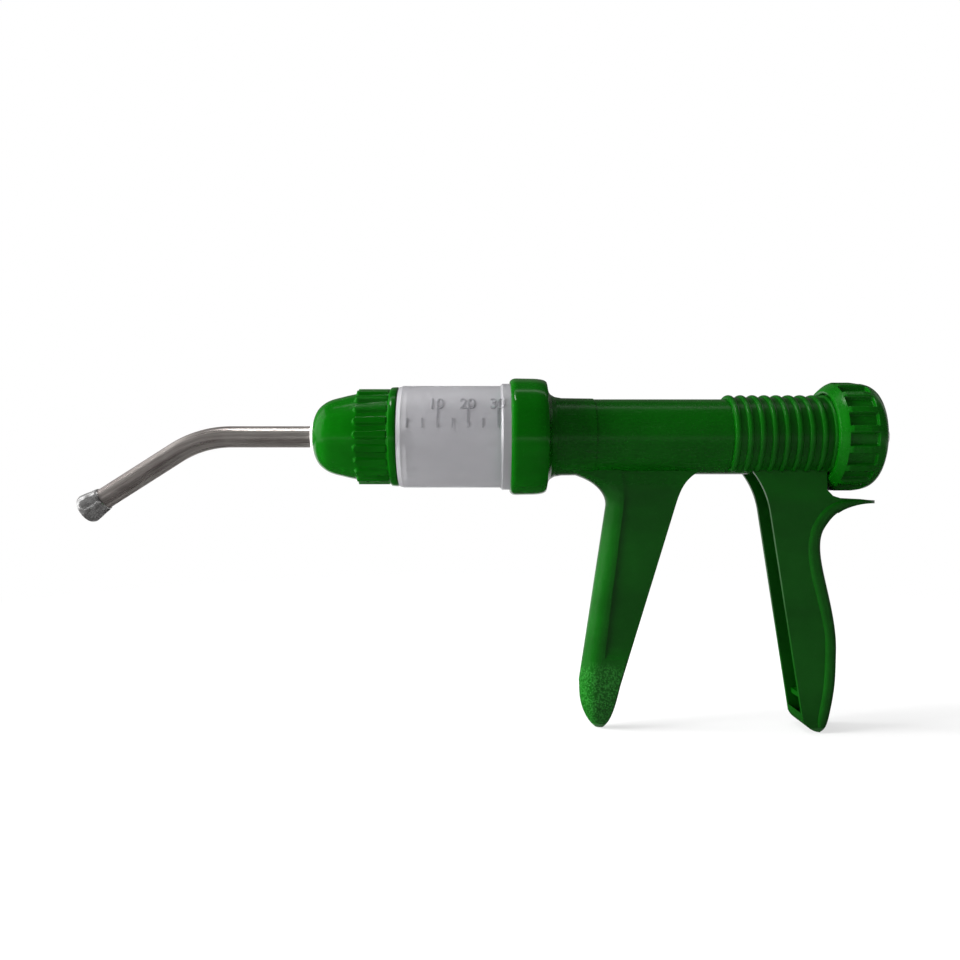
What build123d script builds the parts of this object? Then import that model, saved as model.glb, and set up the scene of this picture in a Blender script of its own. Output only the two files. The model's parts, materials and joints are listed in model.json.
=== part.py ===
"""Pistol-grip dosing gun: a 30 ml repeating syringe with a bent drench nozzle.

Frame: the gun's axis is X with the nozzle towards -X, the handles hang down -Z, and the
origin lies on the axis above the front handle.  Lengths are in millimetres.
"""
import os
from math import cos, degrees, radians, sin

from build123d import *

os.makedirs("parts", exist_ok=True)

# ---- driving dimensions: dose -------------------------------------------------------
stroke = 32.0             # piston travel for the full dose
bore_r = 17.25            # barrel bore; bore area times stroke is 30 ml
barrel_wall = 1.55
piston_rest_x = -53.2     # front face of the piston with the handles open
dose_steps = 6            # divisions of the scale, 5 ml each
end_clear = 0.5           # left in front of the piston at the end of its stroke

# ---- driving dimensions: clearances ---------------------------------------------------
run = 0.06                # radial, round pieces that turn or slide in each other
slide = 0.07              # radial, sleeve on tube
seat = 0.05               # radial, pieces that stay put in their seats
gap = 0.3                 # between moving pieces that never touch

# ---- driving dimensions: front body ---------------------------------------------------
tube_r = 13.9
tube_wall = 1.8
seam_x = -17.9            # seam ring, in front of which the tube is a little wider
collar_front_x = -43.3
collar_rear_x = -35.4
bulkhead_front_x = -40.4  # wall across the tube that carries the rod bush
bulkhead_rear_x = -36.5
bush_seat_r = 8.0

# ---- driving dimensions: front handle ---------------------------------------------------
grip_half = 6.3           # half the width of the rounded front
web_runout_r = 14.0       # curve in which the web's flat runs out
web_half = 5.7            # half the width of the flat web behind it
web_end_z = -80.0         # where the web's flat runs out

# ---- driving dimensions: rear body ------------------------------------------------------
sleeve_front_x = 31.0
sleeve_wall = 0.63
rib_height = 0.55
rib_r = 1.05
rib_count = 9
rib_pitch = 4.4
rib_stop = 60.4           # degrees below the horizontal where the ribs stop
channel_wall = 1.5
bead_proud = 0.7          # how far the rounded spine stands out from the channel's walls
end_wall_x = 75.5
end_wall = 2.5

# ---- driving dimensions: rod and knob ---------------------------------------------------
rod_r = 5.0
rod_bore_r = 3.0
knob_front_x = 66.8
knob_rear_x = 84.1
knob_groove_front_x = 69.9
knob_groove_rear_x = 79.4
knob_ridges = 17
knob_ridge_width = 2.8
knob_ridge_height = 1.7

# ---- driving dimensions: nose -------------------------------------------------------------
end_wall_front = 3.4      # barrel's front wall
neck_thread_r = 14.0
neck_length = 10.6
nose_reach = 21.0         # from the barrel's neck to the tip of the nose
rim_r = 18.3
rim_width = 3.0
flute_count = 21
flute_width = 2.7
flute_crest_r = 17.7

# ---- driving dimensions: nozzle ------------------------------------------------------------
nozzle_r = 3.95
nozzle_bore_r = 3.0
bend_ahead = 31.2         # from the nose to where the nozzle starts to bend
bend_r = 38.0
bend_deg = 32.5
nozzle_reach = 40.6       # from the bend to the end of the tip
tip_length = 9.0
outlet_r = 2.0

# ---- stations that follow -------------------------------------------------------------------
piston_end_x = piston_rest_x - stroke
barrel_floor_x = piston_end_x - end_clear
barrel_front_x = barrel_floor_x - end_wall_front
neck_front_x = barrel_front_x - neck_length
barrel_r = bore_r + barrel_wall
nose_tip_x = neck_front_x - nose_reach
bend_x = nose_tip_x - bend_ahead
collar_r = barrel_r + 1.4         # threaded collar that the barrel nut screws on
neck_r = tube_r + 0.45            # the tube in front of its seam ring
tube_bore_r = tube_r - tube_wall
tube_rear_x = end_wall_x - stroke - 0.5
sleeve_bore_r = tube_r + slide
sleeve_r = sleeve_bore_r + sleeve_wall
sleeve_rear_x = end_wall_x + end_wall
slot_half = web_half + 0.5        # half the width of the slot and of the channel below it
slot_rear_x = stroke + 23.5
panel_half = slot_half + channel_wall
bead_half = panel_half + bead_proud
hub_r = sleeve_r + 1.5            # journal that the dose knob turns on
knob_r = hub_r + 4.0


def turn(*corners, mode=Mode.ADD):
    """Revolve the closed outline of (x, radius) corners about the gun's axis."""
    with BuildSketch(Plane.XZ) as outline:
        with BuildLine():
            Polyline(*corners, close=True)
        make_face()
    revolve(outline.sketch, axis=Axis.X, mode=mode)


def ring(front_x, rear_x, inner_r, outer_r, mode=Mode.ADD):
    """A plain ring on the gun's axis."""
    turn((front_x, inner_r), (front_x, outer_r), (rear_x, outer_r), (rear_x, inner_r), mode=mode)


def disc(front_x, rear_x, outer_r, mode=Mode.ADD):
    """A plain disc on the gun's axis."""
    turn((front_x, 0), (front_x, outer_r), (rear_x, outer_r), (rear_x, 0), mode=mode)


def spring(front_x, rear_x, coil_r, wire_r, turns):
    """A helical wire along the gun's axis, its wire just inside both end faces."""
    length = rear_x - front_x - 2 * wire_r
    coil = Helix(pitch=length / turns, height=length, radius=coil_r,
                 center=(front_x + wire_r, 0, 0), direction=(1, 0, 0))
    with BuildSketch(Plane(coil @ 0, z_dir=coil % 0)) as wire:
        Circle(wire_r)
    sweep(wire.sketch, path=coil, is_frenet=True)


def save(part, name):
    """Label a finished piece and write its STEP file."""
    part.label = name
    export_step(part, f"parts/{name}.step")


# ================================ front body =================================================
# Cross-sections of the front handle as height, front edge, rear edge and half width: the hollow
# curve that leaves the tube, the straight grip, and the rounded tip.  The front is half round,
# so the fingers close on a soft edge.
grip_root = [(-8.0, -40.0, 26.0, grip_half), (-13.4, -27.0, 19.6, grip_half),
             (-17.0, -18.2, 15.6, grip_half), (-21.0, -14.1, 13.4, grip_half),
             (-26.0, -13.0, 11.7, grip_half)]
grip_straight = [(-26.0, -13.0, 11.7, grip_half), (-90.0, -22.8, -7.9, grip_half)]
grip_tip = [(-90.0, -22.8, -7.9, grip_half), (-95.0, -22.6, -9.2, grip_half - 0.1),
            (-99.5, -21.8, -10.4, grip_half - 0.6), (-103.0, -20.4, -11.5, grip_half - 1.8),
            (-105.6, -18.7, -12.6, grip_half - 3.4), (-107.4, -16.8, -13.9, grip_half - 5.0)]


def grip_loft(sections):
    """Loft half-round-fronted cross-sections from one height to the next."""
    with BuildPart() as body:
        for height, front, rear, half in sections:
            nose = min(half, 0.6 * (rear - front))
            corner = min(0.8, half / 3)
            with BuildSketch(Plane.XY.offset(height)):
                with BuildLine():
                    ThreePointArc((front + nose, -half), (front, 0), (front + nose, half))
                    Polyline((front + nose, half), (rear - corner, half), (rear, half - corner),
                             (rear, corner - half), (rear - corner, -half), (front + nose, -half))
                make_face()
        loft()
    return body.part


# The flat of the web, on the near side: a shallow pocket that runs out in a curve at its foot.
pocket = grip_half - web_half
with BuildPart() as web_cut:
    with BuildSketch(Plane.YZ):
        with BuildLine():
            floor = Line((-web_half, 0), (-web_half, web_end_z + 3))
            curve = RadiusArc(floor @ 1, (-grip_half - pocket, web_end_z - 3), web_runout_r)
            Polyline(curve @ 1, (-grip_half - pocket, 0), floor @ 0)
        make_face()
    extrude(amount=40, both=True)
    with BuildSketch(Plane.XZ):
        Polygon((-9.5, 0), (-6.8, -22.0), (-15.3, -90.0), (30.0, -90.0), (30.0, 0), align=None)
    extrude(amount=20, both=True, mode=Mode.INTERSECT)

with BuildPart() as grip:
    for sections in (grip_root, grip_straight, grip_tip):
        add(grip_loft(sections))
    add(web_cut.part, mode=Mode.SUBTRACT)
    add(mirror(web_cut.part, about=Plane.XZ, mode=Mode.PRIVATE), mode=Mode.SUBTRACT)

with BuildPart() as front_body:
    add(grip.part)
    turn((collar_front_x, 0), (collar_front_x, collar_r), (collar_rear_x - 0.4, collar_r),
         (collar_rear_x + 0.2, collar_r - 0.8), (collar_rear_x + 0.7, collar_r - 2.2),
         (collar_rear_x + 1.0, neck_r + 2.55), (collar_rear_x + 1.7, neck_r + 1.45),
         (collar_rear_x + 3.4, neck_r + 0.45), (collar_rear_x + 6.0, neck_r), (seam_x, neck_r - 0.15),
         (seam_x + 0.12, tube_r), (tube_rear_x, tube_r), (tube_rear_x, 0))
    disc(collar_front_x, bulkhead_front_x, bore_r + 0.2, mode=Mode.SUBTRACT)
    disc(bulkhead_front_x, bulkhead_rear_x, bush_seat_r, mode=Mode.SUBTRACT)
    disc(bulkhead_rear_x, tube_rear_x, tube_bore_r, mode=Mode.SUBTRACT)
save(front_body.part, "front_body")

# ================================ barrel and its nut =========================================
flange_r = collar_r - 0.1
gasket_thick = 1.2
flange_rear_x = collar_front_x - gasket_thick
flange_front_x = flange_rear_x - 2.0
flare_r = barrel_r + 0.8
flare_front_x = flange_front_x - 5.6
nut_lip = 2.0
nut_front_x = flange_front_x - nut_lip
nut_r = collar_r + 1.4
chamber_r = 8.0
seat_rear_x = barrel_front_x - 0.6
seat_thick = 1.8
passage_r = 3.0

# The scale is moulded in relief on the barrel's near side, long marks at each second division.
mark_angle = 7.0
mark_rise = 0.22
mark_width = 0.5
with BuildPart() as barrel:
    turn((barrel_front_x, 0), (barrel_front_x, barrel_r - 0.5), (barrel_front_x + 1.2, barrel_r - 0.1),
         (barrel_front_x + 1.5, barrel_r), (flare_front_x, barrel_r), (flare_front_x + 0.8, flare_r),
         (flange_front_x, flare_r), (flange_front_x, flange_r), (flange_rear_x, flange_r),
         (flange_rear_x, 0))
    disc(neck_front_x, barrel_front_x, neck_thread_r)
    for step in range(dose_steps + 1):
        mark_x = piston_end_x + step * stroke / dose_steps
        mark_span = 23.0 if step % 2 == 0 and step else 10.5
        with BuildSketch(Plane.XZ) as mark:
            with Locations((mark_x, barrel_r - 0.3 + mark_rise / 2)):
                Rectangle(mark_width, 0.6 + mark_rise)
        revolve(mark.sketch.rotate(Axis.X, 90 - mark_angle), axis=Axis.X, revolution_arc=-mark_span)
    disc(barrel_floor_x, flange_rear_x, bore_r, mode=Mode.SUBTRACT)
    disc(neck_front_x, seat_rear_x, chamber_r, mode=Mode.SUBTRACT)
    disc(seat_rear_x, barrel_floor_x, passage_r, mode=Mode.SUBTRACT)
save(barrel.part, "barrel")

with BuildPart() as barrel_gasket:
    ring(flange_rear_x, collar_front_x, bore_r + 0.2, flange_r - 0.4)
save(barrel_gasket.part, "barrel_gasket")

with BuildPart() as barrel_nut:
    nut_edge = 1.6
    nut_rear_x = collar_rear_x + 0.2
    turn((nut_front_x, flare_r + 0.1), (nut_front_x, nut_r - nut_edge), (nut_front_x + 0.35, nut_r - 0.65),
         (nut_front_x + 1.0, nut_r - 0.15), (nut_front_x + 1.9, nut_r), (nut_rear_x - 3.6, nut_r - 0.2),
         (nut_rear_x - 1.9, nut_r - 0.45), (nut_rear_x - 0.8, nut_r - 0.75), (nut_rear_x, nut_r - 1.15),
         (nut_rear_x, collar_r + seat), (flange_front_x, collar_r + seat), (flange_front_x, flare_r + 0.1))
save(barrel_nut.part, "barrel_nut")

# ================================ nose =======================================================
rim_rear_x = barrel_front_x - 0.2
nose_gasket_thick = 1.2
nose_floor_x = neck_front_x - nose_gasket_thick
socket_front_x = nose_tip_x + 9.6
socket_web = 2.5
socket_bore_r = nozzle_r + 2.25
socket_r = socket_bore_r + 2.8
nose_hole_r = nozzle_r + 1.35
flute_rear_x = rim_rear_x - rim_width
flute_front_x = flute_rear_x - 12.0

with BuildPart() as nose_cap:
    with BuildSketch(Plane.XZ) as nose_side:
        with BuildLine():
            dome = Spline((nose_tip_x, nose_hole_r + 0.9), (nose_tip_x + 0.7, 8.4), (nose_tip_x + 2.0, 10.6),
                          (nose_tip_x + 4.4, 12.6), (nose_tip_x + 11.3, 14.9), (flute_front_x, 16.1),
                          tangents=((0.2, 1), (1, 0.25)))
            Polyline(dome @ 1, (flute_rear_x, 16.9), (flute_rear_x, rim_r - 0.4), (flute_rear_x + 0.5, rim_r),
                     (rim_rear_x - 0.4, rim_r + 0.1), (rim_rear_x, rim_r - 0.3), (rim_rear_x, 0),
                     (nose_tip_x, 0), dome @ 0)
        make_face()
    revolve(nose_side.sketch, axis=Axis.X)
    with BuildSketch(Plane.XZ) as flute_side:
        with BuildLine():
            rise = ThreePointArc((flute_front_x - 0.8, 15.6), (flute_front_x + 0.3, 17.1),
                                 (flute_front_x + 2.6, flute_crest_r))
            Polyline(rise @ 1, (flute_rear_x + 0.2, flute_crest_r), (flute_rear_x + 0.2, 15.6), rise @ 0)
        make_face()
    flute = extrude(flute_side.sketch, amount=flute_width / 2, both=True, mode=Mode.PRIVATE)
    for step in range(flute_count):
        add(flute.rotate(Axis.X, 90 + 360 / flute_count * step))
    disc(nose_floor_x, rim_rear_x, neck_thread_r + seat, mode=Mode.SUBTRACT)
    disc(socket_front_x, nose_floor_x, socket_r, mode=Mode.SUBTRACT)
    disc(nose_tip_x - 1, socket_front_x, nose_hole_r, mode=Mode.SUBTRACT)
save(nose_cap.part, "nose_cap")

with BuildPart() as nose_gasket:
    ring(nose_floor_x, neck_front_x, socket_r + 0.2, neck_thread_r - 0.2)
save(nose_gasket.part, "nose_gasket")

with BuildPart() as outlet_seat:
    ring(seat_rear_x - seat_thick, seat_rear_x, passage_r, chamber_r - seat)
save(outlet_seat.part, "outlet_seat")

valve_face_x = seat_rear_x - seat_thick
valve_thick = 1.8
valve_travel = 1.5
with BuildPart() as outlet_valve:
    turn((valve_face_x, 0), (valve_face_x, 4.6), (valve_face_x - 0.4, 5.0), (valve_face_x - valve_thick, 5.0),
         (valve_face_x - valve_thick, 1.3), (valve_face_x - valve_thick - 3, 1.3),
         (valve_face_x - valve_thick - 3, 0))
save(outlet_valve.part, "outlet_valve")

with BuildPart() as outlet_spring:
    spring(nose_floor_x, valve_face_x - valve_thick, coil_r=2.3, wire_r=0.3, turns=5)
save(outlet_spring.part, "outlet_spring")

socket_cavity_x = nose_floor_x - socket_web
with BuildPart() as nozzle_socket:
    ring(socket_front_x, nose_floor_x, 2.5, socket_r - seat)
    disc(socket_front_x, socket_cavity_x, socket_bore_r, mode=Mode.SUBTRACT)
save(nozzle_socket.part, "nozzle_socket")

# ================================ nozzle =====================================================
# The nozzle runs straight out of the nose, bends down and ends in a rounded tip.
nozzle_rear_x = socket_cavity_x - 0.6
bend = radians(bend_deg)
bend_end = (bend_x - bend_r * sin(bend), bend_r * (cos(bend) - 1))
tube_run = nozzle_reach - 4.0
tube_end = (bend_end[0] - tube_run * cos(bend), bend_end[1] - tube_run * sin(bend))
with BuildPart() as nozzle_tube:
    with BuildLine(Plane.XZ) as nozzle_path:
        straight = Line((nozzle_rear_x, 0), (bend_x, 0))
        curve = TangentArc(straight @ 1, bend_end, tangent=straight % 1)
        Line(curve @ 1, tube_end)
    with BuildSketch(Plane((nozzle_rear_x, 0, 0), z_dir=(-1, 0, 0))):
        Circle(nozzle_r)
        Circle(nozzle_bore_r, mode=Mode.SUBTRACT)
    sweep()
save(nozzle_tube.part, "nozzle_tube")

tip_end = Vector(bend_end[0] - nozzle_reach * cos(bend), 0, bend_end[1] - nozzle_reach * sin(bend))
tip_frame = Plane(tip_end, x_dir=(0, 1, 0), z_dir=(cos(bend), 0, sin(bend)))
with BuildPart() as nozzle_tip:
    with BuildSketch(Plane(tip_end, x_dir=(-sin(bend), 0, cos(bend)), z_dir=(0, 1, 0))):
        with BuildLine():
            bulge = Spline((nozzle_r + 0.4, tip_length), (nozzle_r + 0.8, 6.8), (nozzle_r + 1.4, 3.6),
                           (nozzle_r + 1.5, 1.9), (nozzle_r + 0.45, 0.3), (nozzle_r - 0.45, 0),
                           tangents=((0.3, -1), (-1, 0)))
            Polyline(bulge @ 1, (outlet_r, 0), (outlet_r, 4.0), (nozzle_r, 4.0), (nozzle_r, tip_length),
                     bulge @ 0)
        make_face()
    revolve(axis=Axis(tip_end, tip_frame.z_dir))
save(nozzle_tip.part, "nozzle_tip")

ferrule_front_x = socket_front_x + 0.3
ferrule_groove_x = (nozzle_rear_x + ferrule_front_x) / 2
seal_wire_r = 0.62
with BuildPart() as nozzle_ferrule:
    ring(ferrule_front_x, nozzle_rear_x, nozzle_r, socket_bore_r - run)
    ring(ferrule_groove_x - 0.9, ferrule_groove_x + 0.9, socket_bore_r - 1.35, socket_bore_r + 1,
         mode=Mode.SUBTRACT)
save(nozzle_ferrule.part, "nozzle_ferrule")

with BuildPart() as nozzle_o_ring:
    with BuildSketch(Plane.XZ):
        with Locations((ferrule_groove_x, socket_bore_r - 0.05 - seal_wire_r)):
            Circle(seal_wire_r)
    revolve(axis=Axis.X)
save(nozzle_o_ring.part, "nozzle_o_ring")

with BuildPart() as nozzle_bush:
    ring(nose_tip_x, socket_front_x, nozzle_r + run, nose_hole_r)
    turn((nose_tip_x - 0.9, nozzle_r + run), (nose_tip_x - 0.9, nose_hole_r),
         (nose_tip_x - 0.5, nose_hole_r + 0.5), (nose_tip_x, nose_hole_r + 0.5), (nose_tip_x, nozzle_r + run))
save(nozzle_bush.part, "nozzle_bush")

# ================================ piston and rod =============================================
bumper_thick = 1.5
piston_rear_x = bulkhead_front_x - bumper_thick - 0.2
piston_r = bore_r - 0.4
ring_groove_r = bore_r - 2.2
ring_width = 2.4
ring_stations = {"piston_ring_front": piston_rest_x + 3.0, "piston_ring_rear": piston_rear_x - 3.6}
rod_front_x = piston_rear_x - 4.0
inlet_seat_x = piston_rest_x + 4.9
inlet_cavity_r = 5.6
retainer_thick = 1.2

with BuildPart() as rest_bumper:
    ring(bulkhead_front_x - bumper_thick, bulkhead_front_x, bush_seat_r + 2.0, bore_r - 2.0)
save(rest_bumper.part, "rest_bumper")

with BuildPart() as piston_body:
    turn((piston_rest_x, 0), (piston_rest_x, piston_r - 0.6), (piston_rest_x + 0.6, piston_r),
         (piston_rear_x, piston_r), (piston_rear_x, 0))
    for station in ring_stations.values():
        ring(station - ring_width / 2, station + ring_width / 2, ring_groove_r, bore_r + 1,
             mode=Mode.SUBTRACT)
    disc(piston_rest_x, inlet_seat_x, inlet_cavity_r, mode=Mode.SUBTRACT)
    disc(inlet_seat_x, rod_front_x, 2.5, mode=Mode.SUBTRACT)
    disc(rod_front_x, piston_rear_x, rod_r, mode=Mode.SUBTRACT)
save(piston_body.part, "piston_body")

for name, station in ring_stations.items():
    with BuildPart() as piston_ring:
        turn((station - ring_width / 2, ring_groove_r), (station - ring_width / 2, bore_r - 0.15),
             (station, bore_r - 0.04), (station + ring_width / 2, bore_r - 0.15),
             (station + ring_width / 2, ring_groove_r))
    save(piston_ring.part, name)

inlet_thick = 1.4
inlet_travel = 1.0
with BuildPart() as inlet_valve:
    turn((inlet_seat_x, 0), (inlet_seat_x, 3.9), (inlet_seat_x - 0.3, 4.2), (inlet_seat_x - inlet_thick, 4.2),
         (inlet_seat_x - inlet_thick, 0))
save(inlet_valve.part, "inlet_valve")

with BuildPart() as piston_retainer:
    disc(piston_rest_x, piston_rest_x + retainer_thick, inlet_cavity_r - seat)
    with BuildSketch(Plane.YZ.offset(piston_rest_x)):
        with PolarLocations(3.4, 6):
            Circle(0.9)
    extrude(amount=retainer_thick, mode=Mode.SUBTRACT)
save(piston_retainer.part, "piston_retainer")

with BuildPart() as inlet_spring:
    spring(piston_rest_x + retainer_thick, inlet_seat_x - inlet_thick, coil_r=1.8, wire_r=0.22, turns=3)
save(inlet_spring.part, "inlet_spring")

bush_flange = 1.5
bush_flange_r = tube_bore_r - 0.5
with BuildPart() as rod_bush:
    ring(bulkhead_front_x, bulkhead_rear_x, rod_r + run, bush_seat_r - seat)
    ring(bulkhead_rear_x, bulkhead_rear_x + bush_flange, rod_r + run, bush_flange_r)
save(rod_bush.part, "rod_bush")

knob_web_front_x = sleeve_rear_x + gap
knob_web = 3.0
spigot_front_x = knob_web_front_x + knob_web + gap
with BuildPart() as piston_rod:
    ring(rod_front_x, spigot_front_x, rod_bore_r, rod_r)
save(piston_rod.part, "piston_rod")

washer_thick = 0.8
clip_thick = washer_thick - 0.1
clip_r = rod_r + 2.6
with BuildPart() as rod_clip:
    ring(end_wall_x - clip_thick, end_wall_x, rod_r, clip_r)
    with Locations((end_wall_x - clip_thick / 2, 0, -clip_r)):
        Box(clip_thick, 2 * rod_r - 1.6, 2 * clip_r, mode=Mode.SUBTRACT)
save(rod_clip.part, "rod_clip")

# ================================ return spring ==============================================
front_washer_x = bulkhead_rear_x + bush_flange
rear_washer_x = end_wall_x - washer_thick
with BuildPart() as spring_washer_front:
    ring(front_washer_x, front_washer_x + washer_thick, rod_r + 0.6, bush_flange_r - 0.2)
save(spring_washer_front.part, "spring_washer_front")

with BuildPart() as spring_washer_rear:
    ring(rear_washer_x, end_wall_x, clip_r + 0.3, bush_flange_r - 0.2)
save(spring_washer_rear.part, "spring_washer_rear")

with BuildPart() as return_spring:
    spring(front_washer_x + washer_thick, rear_washer_x, coil_r=tube_bore_r - 2.2, wire_r=0.8, turns=13)
save(return_spring.part, "return_spring")

# ================================ rear body ==================================================
# Grip ribs round the sleeve, which stop where the handle's flat sides begin.
with BuildPart() as ribs:
    for step in range(rib_count):
        with BuildSketch(Plane.XZ) as rib:
            with Locations((sleeve_front_x + 1.2 + step * rib_pitch, sleeve_r + rib_height - rib_r)):
                Circle(rib_r)
            with Locations((0, (sleeve_bore_r + 0.3) / 2)):
                Rectangle(400, sleeve_bore_r + 0.3, mode=Mode.SUBTRACT)
        revolve(rib.sketch.rotate(Axis.X, 90 + rib_stop), axis=Axis.X, revolution_arc=-(180 + 2 * rib_stop))

handle_front_top = (37.9, -11.0)
handle_front_low = (45.8, -26.8)
handle_toe = (57.6, -103.2)
handle_sole = (59.9, -106.1)
handle_heel = (63.8, -107.4)
hub_front_x = knob_front_x + 2.5
under_knob_z = -(knob_r + 0.5)

# The rounded band along the handle's back edge and out along the spur, from the heel up: centre
# as x and z, thickness, and half width.
band_stations = [(63.6, -107.0, 2.6, bead_half - 1.3), (64.2, -105.0, 3.9, bead_half - 0.3),
                 (65.3, -100.0, 4.6, bead_half), (66.6, -93.0, 4.7, bead_half), (67.3, -85.0, 4.7, bead_half),
                 (67.5, -77.0, 4.7, bead_half), (66.9, -69.0, 4.7, bead_half), (65.3, -61.0, 5.0, bead_half),
                 (63.4, -53.0, 5.2, bead_half), (62.0, -46.0, 5.2, bead_half), (61.6, -40.0, 5.0, bead_half),
                 (62.3, -35.2, 4.9, bead_half), (63.8, -31.8, 5.0, bead_half), (65.8, -29.0, 5.0, bead_half),
                 (68.3, -26.7, 4.7, bead_half), (71.6, -25.1, 3.8, bead_half),
                 (75.4, -24.3, 2.6, bead_half - 0.2), (79.2, -24.0, 1.5, bead_half - 0.5)]
with BuildPart() as spine:
    for step, (x, z, thick, half) in enumerate(band_stations):
        before = band_stations[max(step - 1, 0)]
        after = band_stations[min(step + 1, len(band_stations) - 1)]
        ahead = Vector(after[0] - before[0], 0, after[1] - before[1])
        with BuildSketch(Plane((x, 0, z), x_dir=(0, 1, 0), z_dir=ahead)):
            RectangleRounded(2 * half, thick, min(1.9, 0.42 * thick))
    loft()

with BuildPart() as rear_body:
    turn((sleeve_front_x, 0), (sleeve_front_x, sleeve_r), (hub_front_x, sleeve_r), (hub_front_x, hub_r),
         (sleeve_rear_x, hub_r), (sleeve_rear_x, 0))
    add(ribs.part)
    # The two side walls of the channel.
    with BuildSketch(Plane.XZ) as wall_side:
        with BuildLine():
            hollow = ThreePointArc(handle_front_top, (43.0, -18.4), handle_front_low)
            edge = Line(hollow @ 1, handle_toe)
            sole = ThreePointArc(edge @ 1, handle_sole, handle_heel)
            Polyline(sole @ 1, (64.3, -105.0), (66.5, -94.0), (67.4, -80.0), (65.1, -60.0), (62.0, -46.0),
                     (61.6, -40.0), (63.8, -31.8), (68.3, -26.7), (71.6, -25.1), (71.6, under_knob_z - 2.1),
                     (68.4, under_knob_z - 1.1), (67.3, under_knob_z + 0.1), (66.3, under_knob_z + 1.1),
                     (66.3, -11.0), handle_front_top)
        make_face()
    extrude(wall_side.sketch, amount=panel_half, both=True)
    with BuildSketch(Plane.XZ) as channel_side:
        Polygon((30.0, -8.0), (slot_rear_x, -8.0), (slot_rear_x, -16.4), (60.0, -18.0), (60.0, -43.0),
                (63.0, -60.0), (65.4, -80.0), (64.4, -94.0), (61.6, -103.6), (56.0, -100.0), (30.0, -100.0),
                align=None)
    extrude(channel_side.sketch, amount=slot_half, both=True, mode=Mode.SUBTRACT)
    # A web ties the walls together near the foot of the channel.
    with BuildSketch(Plane.XZ) as tie_side:
        Polygon((58.2, -94.6), (66.0, -93.6), (66.0, -95.4), (58.4, -96.4), align=None)
    extrude(tie_side.sketch, amount=slot_half + 0.4, both=True)
    add(spine.part)
    # The spur that rests on the web of the hand, a thin blade with a half-round end.
    with BuildSketch(Plane.XZ) as spur_side:
        with BuildLine():
            over = Spline((68.4, under_knob_z - 1.1), (71.1, under_knob_z - 2.0), (76.2, under_knob_z - 2.2),
                          (86.8, under_knob_z - 2.9), tangents=((1, -0.6), (1, -0.03)))
            under = Spline((86.8, under_knob_z - 4.0), (79.7, under_knob_z - 4.1), (75.0, under_knob_z - 5.2),
                           (70.5, under_knob_z - 7.4), tangents=((-1, 0.02), (-1, -0.75)))
            Line(over @ 1, under @ 0)
            Polyline(under @ 1, (66.0, -28.0), over @ 0)
        make_face()
    spur = extrude(spur_side.sketch, amount=panel_half, both=True, mode=Mode.PRIVATE)
    with BuildSketch(Plane.XY.offset(-60)) as spur_plan:
        with Locations((70.0, 0)):
            Rectangle(17.2, 2 * panel_half)
        with Locations((78.6, 0)):
            Circle(panel_half)
    spur_trim = extrude(spur_plan.sketch, amount=60, mode=Mode.PRIVATE)
    add(spur & spur_trim)
    # Bore, slot, rod hole and knob ring groove.
    disc(sleeve_front_x - 1, end_wall_x, sleeve_bore_r, mode=Mode.SUBTRACT)
    disc(end_wall_x, sleeve_rear_x, rod_r + seat, mode=Mode.SUBTRACT)
    with BuildSketch(Plane.XZ) as slot_side:
        Polygon((sleeve_front_x - 1, -8.0), (slot_rear_x, -8.0), (slot_rear_x, -sleeve_r - 2.5),
                (sleeve_front_x - 1, -sleeve_r - 2.5), align=None)
    extrude(slot_side.sketch, amount=slot_half, both=True, mode=Mode.SUBTRACT)
    knob_ring_x = sleeve_rear_x - 4.4
    ring(knob_ring_x - 0.6, knob_ring_x + 0.6, hub_r - 0.8, hub_r + 1, mode=Mode.SUBTRACT)
save(rear_body.part, "rear_body")

# ================================ dose knob ==================================================
with BuildPart() as dose_knob:
    with BuildSketch(Plane.XZ) as knob_side:
        with BuildLine():
            Polyline((knob_front_x, 0), (knob_front_x, hub_r + 1.1), (knob_front_x + 0.5, hub_r + 1.7),
                     (knob_groove_front_x, knob_r - 0.3), (knob_groove_front_x + 0.6, knob_r),
                     (knob_rear_x - 7.2, knob_r))
            rim = Spline((knob_rear_x - 7.2, knob_r), (knob_rear_x - 4.2, knob_r - 0.45),
                         (knob_rear_x - 1.4, knob_r - 1.4), (knob_rear_x, knob_r - 3.4),
                         tangents=((1, -0.02), (0.1, -1)))
            Polyline(rim @ 1, (knob_rear_x, 0), (knob_front_x, 0))
        make_face()
    revolve(knob_side.sketch, axis=Axis.X)
    # Grip grooves, leaving narrow ridges between them.
    groove_floor_r = knob_r - knob_ridge_height
    groove_angle = 360 / knob_ridges - degrees(knob_ridge_width / knob_r)
    with BuildSketch(Plane.XZ) as groove_side:
        Polygon((knob_groove_front_x, groove_floor_r), (knob_groove_front_x, knob_r + 1),
                (knob_groove_rear_x + 0.6, knob_r + 1), (knob_groove_rear_x, groove_floor_r), align=None)
    for step in range(knob_ridges):
        start = 360 / knob_ridges * step + degrees(knob_ridge_width / knob_r) / 2
        revolve(groove_side.sketch.rotate(Axis.X, start), axis=Axis.X, revolution_arc=groove_angle,
                mode=Mode.SUBTRACT)
    disc(knob_front_x - 1, knob_web_front_x, hub_r + run, mode=Mode.SUBTRACT)
    disc(knob_web_front_x, knob_web_front_x + knob_web, rod_r + run, mode=Mode.SUBTRACT)
    disc(knob_web_front_x + knob_web, knob_rear_x + 1, 12.0, mode=Mode.SUBTRACT)
    ring(knob_ring_x - 0.75, knob_ring_x + 0.75, hub_r - 1, hub_r + 1.0, mode=Mode.SUBTRACT)
save(dose_knob.part, "dose_knob")

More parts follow.
